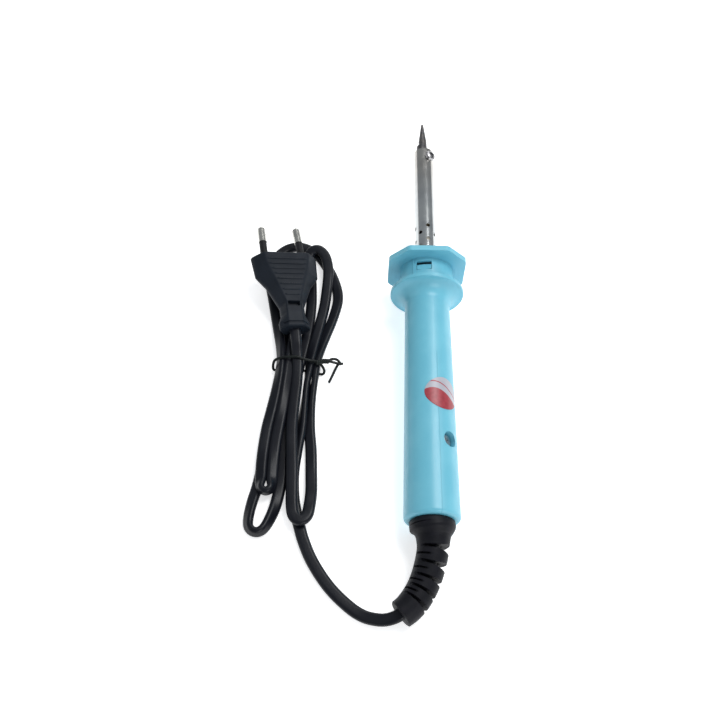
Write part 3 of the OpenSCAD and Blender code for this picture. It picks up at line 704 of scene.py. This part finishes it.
@dataclass
class StrainRelief:
    """The rubber boot: a domed collar, a neck and a tail with slots that bends to the left.

    The long slots open on the outside of the bend, and short ones lie between them on the inside.
    """

    line: tuple = (
        (0, -1, 11.8), (0.3, -4.5, 11.3), (0, -11.5, 10), (-1.6, -18.5, 8.4), (-3.8, -24.5, 7.2),
        (-6.6, -29.5, 6.6), (-9.8, -33.4, 6.2), (-13, -36, 6),
    )
    profile: tuple = (
        (0, 9.5), (1.5, 9.5), (2.2, 9.25), (3.2, 8.35), (4.2, 7.5), (5.2, 7.1), (7, 6.8), (9, 6.55),
        (33, 6.1), (39, 5.8),
    )
    long_slots: tuple = ((9.7, 0.95), (16, 0.85), (22, 0.35), (27.4, 0.2), (32.2, 0.2))
    short_slots: tuple = (12.9, 19, 24.7, 29.8)
    long_half: float = 0.5
    long_depth: float = 4.0
    short_half: float = 0.35
    short_depth: float = 1.6
    skew: float = 0.5
    wall: float = 0.16
    inner_from: float = 0.35
    inner_to: tuple = (0.85, 0.97)
    outer_from: tuple = (-0.75, -0.35)
    end_round: float = 0.5
    ground_gap: float = 0.05
    collar: tuple = (
        (0, 4.5), (7, 4.5), (7.4, 4.1), (7.4, 3.05), (5.6, 3.05), (5.6, -0.05), (8.9, -0.05),
        (9.3, -0.2), (9.46, -0.5), (9.46, -2.3), (8, -2.6), (0, -2.8),
    )
    handle_len: float = 124.0
    steps: int = 30
    spacing: float = 0.11
    places: int = 96
    crease: float = 35.0

    def radius(self, along: Points, around: Points) -> Points:
        """Returns the radius at each place: the profile of collar, neck and tail, less the slots.

        A slot takes away its depth where the place is within its half width, times a rise with the angle.
        """
        full = np.interp(along, *np.array(self.profile).T)
        outer, skewed = -np.cos(around), along + self.skew * np.sin(around)
        for middle, opening in self.long_slots:
            half = self.long_half + opening * np.clip(outer, 0, 1) ** 2
            cut = 1 - step(np.abs(skewed - middle), half - self.wall, half + self.wall)
            full = full - self.long_depth * cut * step(outer, *self.outer_from)
        for middle in self.short_slots:
            half = self.short_half
            cut = 1 - step(np.abs(skewed - middle), half - self.wall, half + self.wall)
            inside = step(-outer, 0.0, self.inner_from) * (1 - step(-outer, *self.inner_to))
            full = full - self.short_depth * cut * inside
        total = along.max()
        return full - self.end_round * step(along, total - self.end_round, total) ** 2

    def build(self, places: Places) -> bpy.types.Object:
        """Builds the boot's tail along its line and the collar with its stub in the handle's own frame."""
        line = evenly(smooth_path(np.array(self.line, float), self.steps), self.spacing)
        along = lengths_along(line)[:, None]
        around = (np.arange(self.places) * 2 * math.pi / self.places)[None, :]
        radius = self.radius(along + 0 * around, around + 0 * along)
        high = np.clip(radius * np.sin(around), self.ground_gap - line[:, 2:], None)
        tail = carried(line * MM + places.home(), radius * np.cos(around) * MM, high * MM)
        collar = turned([(radius, along - self.handle_len) for radius, along in self.collar])
        return make_piece("strain_relief", [tail, placed(collar, places.iron())], self.crease)


@dataclass
class WireTie:
    """A coated wire round the waist of the hank, twisted together at the right and bent over."""

    wire: float = 0.62
    ring: tuple = (
        (-70.6, 79.4, 4.8), (-69.6, 80.4, 7.2), (-66.5, 81.3, 8.2), (-62.8, 81.6, 8.4),
        (-59.2, 81.5, 8.6), (-56, 81.2, 7.4), (-53, 81, 6.4), (-50.2, 80.6, 6.1), (-48.2, 79.4, 5),
        (-47, 77.8, 3.2), (-47.6, 76.9, 1.5), (-50, 77.6, 0.7), (-56, 79, 0.7), (-63, 79.4, 0.7),
        (-68.4, 78.8, 1), (-70.4, 78.4, 2.4),
    )
    twist: tuple = ((-50.6, 79.6, 6.6), (-49, 80.4, 6.4), (-47.2, 81.2, 5.9), (-45.4, 81.6, 5.2))
    twist_turns: float = 3.0
    twist_r: float = 0.6
    eye: tuple = ((-45.4, 81.6, 5.2), (-43.6, 82.2, 4.9), (-41.6, 82.2, 4.4), (-39.4, 81, 3.8))
    eye_half: float = 1.0
    tail: tuple = (
        (-38.4, 81.4, 3.7), (-40.4, 81, 3.8), (-41.6, 79.4, 3.2), (-43.2, 75.8, 2.2), (-44.7, 72.4, 1.4),
    )
    steps: int = 12
    spacing: float = 0.3
    twist_spacing: float = 0.12
    eye_spacing: float = 0.2
    crease: float = 60.0

    def run(self, points: tuple, spacing: float) -> Points:
        """Returns a smooth, even run through the points."""
        return evenly(smooth_path(np.array(points, float), self.steps), spacing)

    def build(self, places: Places) -> bpy.types.Object:
        """Builds the ring, the two wires of the twist, the eye and the tail."""
        ring = self.run((*self.ring, self.ring[0]), self.spacing)
        shells = [round_tube(ring, self.wire)]
        spine = self.run(self.twist, self.twist_spacing)
        share = np.linspace(0, 1, len(spine))
        side, up = directions(spine, np.zeros(len(spine)))
        for start in (0.0, math.pi):
            angle = (start + share * self.twist_turns * 2 * math.pi)[:, None]
            away = side * np.cos(angle) + up * np.sin(angle)
            shells.append(round_tube(spine + self.twist_r * away, self.wire))
        eye = self.run(self.eye, self.eye_spacing)
        swell = np.sin(np.linspace(0, math.pi, len(eye)))[:, None] * self.eye_half
        side, _ = directions(eye, np.zeros(len(eye)))
        shells += [round_tube(eye + sign * side * swell, self.wire) for sign in (-1, 1)]
        shells.append(round_tube(self.run(self.tail, self.spacing), self.wire))
        return make_piece("wire_tie", [shell * MM + places.home() for shell in shells], self.crease)


# ---------------------------------------------------------------- plug


@dataclass
class Plug:
    """The moulded plug: a six-sided body with slanted sides, ridged grips, a slot and a grooved end.

    Each section is the inside of eight planes, rounded where they meet: the radius at an angle is
    (sum of (n . d / distance) ** p) ** (-1 / p).
    """

    place: tuple = (-68.8, 135.7, 12.0)
    turn: float = 11.0
    pitch: float = 3.0
    roll: float = 15.0
    half_w: tuple = ((0, 16.5), (11.5, 15.5), (17.5, 11), (29, 6), (34, 6), (37.5, 7.4), (41, 7.4))
    half_h: tuple = ((0, 6.2), (14, 6.1), (27.5, 5.2), (34, 4.9), (41, 4.3))
    flat: tuple = ((0, 11), (5, 10.4), (28, 3.4), (31, 3.7), (39, 3.7), (41, 4.4))
    edge: float = 0.9
    least_slant: float = 0.8
    sharpness: float = 26.0
    ridge_first: float = 4.0
    ridge_last: float = 24.5
    ridge_pitch: float = 2.9
    ridge_high: float = 0.42
    ridge_fade: float = 0.25
    ridge_crest: tuple = (0.45, 0.8)
    ridge_short: tuple = (1.6, 0.9)
    top_from: tuple = (2.5, 3.5)
    slot_back: tuple = (28.0, 30.4)
    slot_half: float = 2.7
    slot_deep: float = 2.2
    slot_soft: float = 0.15
    groove_back: tuple = (38.6, 39.8)
    groove_deep: float = 0.6
    groove_soft: float = 0.1
    groove_from: tuple = (2.0, 3.0)
    length: float = 41.0
    rounding: float = 0.7
    end_ring: float = 0.55
    crease: float = 32.0
    rings: int = 300
    places: int = 160

    def outline(self, back: Points, around: Points) -> tuple[Points, Points]:
        """Returns the sideways and upward distance at each place of the body, before its details."""
        half_w, half_h, flat = (
            np.interp(back, *np.array(line).T)[:, None]
            for line in (self.half_w, self.half_h, self.flat)
        )
        dx, dz = np.cos(around), np.sin(around)
        rise, run = half_h - self.edge, np.maximum(half_w - flat, self.least_slant)
        size = np.hypot(rise, run)
        slant = (rise * half_w + run * self.edge) / size
        total = (np.abs(dz) / half_h) ** self.sharpness + (np.abs(dx) / half_w) ** self.sharpness
        total = total + ((rise * np.abs(dx) + run * np.abs(dz)) / size / slant) ** self.sharpness
        radius = total ** (-1 / self.sharpness)
        return radius * dx, radius * dz

    def details(self, back: Points, across: Points, high: Points) -> Points:
        """Adds the ridges to both flat sides and cuts the slot and the rear groove into them."""
        flat = np.interp(back, *np.array(self.flat).T)[:, None]
        back, aside = back[:, None], np.abs(across)
        top = step(np.abs(high), *self.top_from)
        phase = (back - self.ridge_first) / self.ridge_pitch
        ridge = step(np.cos(2 * math.pi * phase), *self.ridge_crest)
        fade, (short, shorter) = self.ridge_fade, self.ridge_short
        ridge = ridge * band(back, self.ridge_first - fade, self.ridge_last + fade, fade)
        ridge = ridge * (1 - step(aside, flat - short, flat - shorter)) * top
        slot = band(back, *self.slot_back, self.slot_soft) * top
        slot = slot * (1 - step(aside, self.slot_half - self.slot_soft, self.slot_half + self.slot_soft))
        groove = band(back, *self.groove_back, self.groove_soft) * step(np.abs(high), *self.groove_from)
        lift = self.ridge_high * ridge - self.slot_deep * slot - self.groove_deep * groove
        return high + np.sign(high) * lift

    def build(self, places: Places) -> bpy.types.Object:
        """Builds the plug's body in its own frame and lays it on the hank."""
        back = np.linspace(0, self.length, self.rings)
        around = np.arange(self.places) * 2 * math.pi / self.places
        across, high = self.outline(back, around[None, :])
        high = self.details(back, across, high)
        near = np.minimum(back, self.length - back) / self.rounding
        inset = self.rounding * (1 - np.sqrt(1 - np.clip(1 - near, 0, 1) ** 2))
        ends = 1 - inset[:, None] / np.hypot(across, high)
        grid = np.stack([across * ends, np.broadcast_to(-back[:, None], across.shape), high * ends], axis=2)
        smaller = np.array([self.end_ring, 1, self.end_ring])
        shell = np.concatenate([grid[:1] * smaller, grid, grid[-1:] * smaller])
        matrix = places.plug(self.place, self.turn, self.pitch, self.roll)
        return make_piece("plug_shell", [placed(shell, matrix)], self.crease)


# ---------------------------------------------------------------- room


@dataclass
class Room:
    """The plain pale floor, the soft lights and the camera."""

    camera_place: tuple = (-0.0308, -0.2585, 0.36187)
    down: float = math.radians(57.03)
    heading: float = math.radians(0.04)
    lean: float = math.radians(-1.14)
    view_angle: float = math.radians(42.6864)
    near_and_far: tuple = (0.01, 20.0)
    floor_half: float = 3.0
    floor_colours: tuple = ((0.9, 0.9, 0.905), (0.92, 0.92, 0.92))
    floor_patch: float = 60.0
    floor_roughness: float = 0.8
    floor_glow: float = 0.6
    sky: tuple = (0.9, 0.95, 1.0, 1.0)
    sky_strength: float = 0.36
    lights: tuple = (
        ("main_light", (0.35, 0.25, 0.9), (0, 0, 0), 0.5, 6.2),
        ("front_light", (0.45, -0.85, 0.45), (0, 0, 0), 0.5, 3.2),
        ("left_light", (-0.9, -0.1, 0.7), (0, 0, 0), 0.6, 0.8),
        ("back_light", (0.1, 1.1, 0.6), (0, 0.05, 0), 0.5, 2.4),
    )

    def camera(self) -> None:
        """Makes the camera: it looks along +Y, down at the object, and leans by a degree."""
        data = bpy.data.cameras.new("camera")
        data.angle = self.view_angle
        data.clip_start, data.clip_end = self.near_and_far
        camera = bpy.data.objects.new("camera", data)
        east, north = math.sin(self.heading), math.cos(self.heading)
        level, drop = math.cos(self.down), math.sin(self.down)
        ahead, right = np.array([east * level, north * level, -drop]), np.array([north, -east, 0])
        below = np.cross(ahead, right)
        across = right * math.cos(self.lean) + below * math.sin(self.lean)
        up = right * math.sin(self.lean) - below * math.cos(self.lean)
        columns = np.column_stack([across, up, -ahead, self.camera_place])
        camera.matrix_world = Matrix(np.vstack([columns, [0, 0, 0, 1]]).tolist())
        bpy.context.scene.collection.objects.link(camera)
        bpy.context.scene.camera = camera

    def light(self, name: str, place: tuple, aim: tuple, size: float, power: float) -> None:
        """Hangs one square soft light at a place, turned towards a point."""
        data = bpy.data.lights.new(name, "AREA")
        data.shape, data.size, data.energy = "SQUARE", size, power
        lamp = bpy.data.objects.new(name, data)
        lamp.location = place
        lamp.rotation_euler = (Vector(place) - Vector(aim)).to_track_quat("Z", "Y").to_euler()
        bpy.context.scene.collection.objects.link(lamp)

    def floor(self) -> None:
        """Lays the pale floor."""
        mesh = bpy.data.meshes.new("floor")
        half = self.floor_half
        corners = [(-half, -half, 0), (half, -half, 0), (half, half, 0), (-half, half, 0)]
        mesh.from_pydata(corners, [], [(0, 1, 2, 3)])
        floor = bpy.data.objects.new("floor", mesh)
        bpy.context.scene.collection.objects.link(floor)
        tree = Tree("floor_paper")
        pale = tree.blend(tree.noise(self.floor_patch), *self.floor_colours)
        mesh.materials.append(tree.close({
            "Base Color": pale,
            "Roughness": self.floor_roughness,
            "Emission Color": (1, 1, 1, 1),
            "Emission Strength": self.floor_glow,
        }))

    def build(self) -> None:
        """Makes the camera, the floor, the lights and the pale surroundings."""
        self.camera()
        self.floor()
        world = bpy.data.worlds.new("surroundings")
        world.use_nodes = True
        background = world.node_tree.nodes["Background"]
        background.inputs[0].default_value = self.sky
        background.inputs[1].default_value = self.sky_strength
        bpy.context.scene.world = world
        for light in self.lights:
            self.light(*light)
        bpy.context.scene.view_settings.view_transform = "Standard"


# ---------------------------------------------------------------- whole object


@dataclass
class SolderingIron:
    """The whole object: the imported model's pieces in their finishes, and the pieces made here."""

    cord_length: float = 1.03

    def dress_model(self, wardrobe: Wardrobe) -> None:
        """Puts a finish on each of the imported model's pieces that stay."""
        low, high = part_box("rating_label")
        sticker = StickerFilm("label_paper", (0.43, 0.44, 0.49), (0.38, 0.38, 0.43), 0.35, grain_depth=0.01,
                              centre=tuple((low + high) / 2))
        for name, finish in {**NODE_FINISHES, "rating_label": sticker}.items():
            wardrobe.wear(frame["nodes"][name], finish)
            LOG.info("%s: %s", name, finish.name)

    def build(self) -> None:
        places, wardrobe = Places(), Wardrobe()
        cord, line = FlatCord().build(places)
        wardrobe.finish_piece(cord, CORD, "cord_lead", "cord_hank")
        boot = wardrobe.finish_piece(StrainRelief().build(places), BOOT, "cord_boot")
        tie = wardrobe.finish_piece(WireTie().build(places), TIE, "cord_tie")
        plug = wardrobe.finish_piece(Plug().build(places), PLUG, "plug_body")
        self.dress_model(wardrobe)


def main() -> None:
    """Makes the room and the object."""
    logging.basicConfig(level=logging.INFO, format="%(name)s: %(message)s")
    Room().build()
    SolderingIron().build()


if __name__ == "__main__":
    main()
